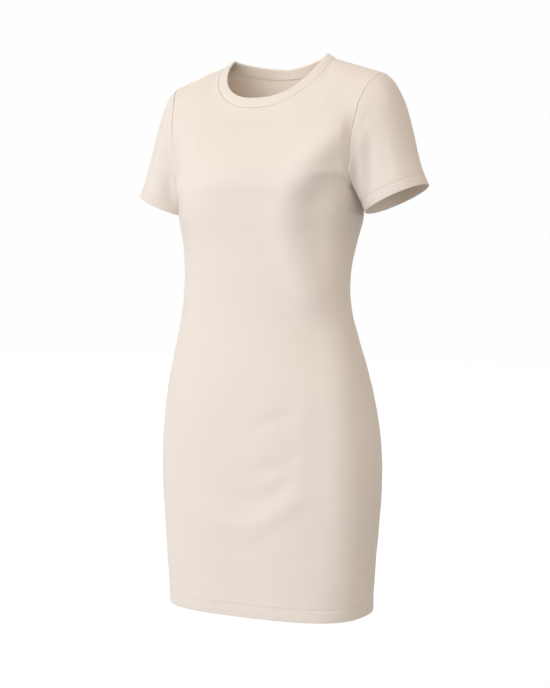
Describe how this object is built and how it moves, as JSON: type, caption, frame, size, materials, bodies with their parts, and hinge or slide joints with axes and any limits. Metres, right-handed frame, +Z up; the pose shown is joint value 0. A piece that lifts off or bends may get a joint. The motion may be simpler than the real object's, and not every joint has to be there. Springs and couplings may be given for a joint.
{
  "type": "sheath dress",
  "caption": "Short-sleeved knit sheath dress with a round banded neck and a hem above the knee, filled out as worn.",
  "frame": {"origin": "midway between the two neck points, at the top edge of the neckband where it meets the shoulder seams", "axes": "+X to the wearer's left, +Y to the back, +Z up"},
  "size_m": [0.5126, 0.2433, 0.8944],
  "materials": {
    "double_knit": "matte smooth double knit, pale oatmeal, with a faint crosswise slub",
    "neckband_knit": "matte smooth double knit, folded double, pale oatmeal"
  },
  "bodies": {
    "root": {"front_panel": "double_knit", "back_panel": "double_knit", "sleeve_left": "double_knit", "sleeve_right": "double_knit", "neckband": "neckband_knit"}
  },
  "joints": []
}
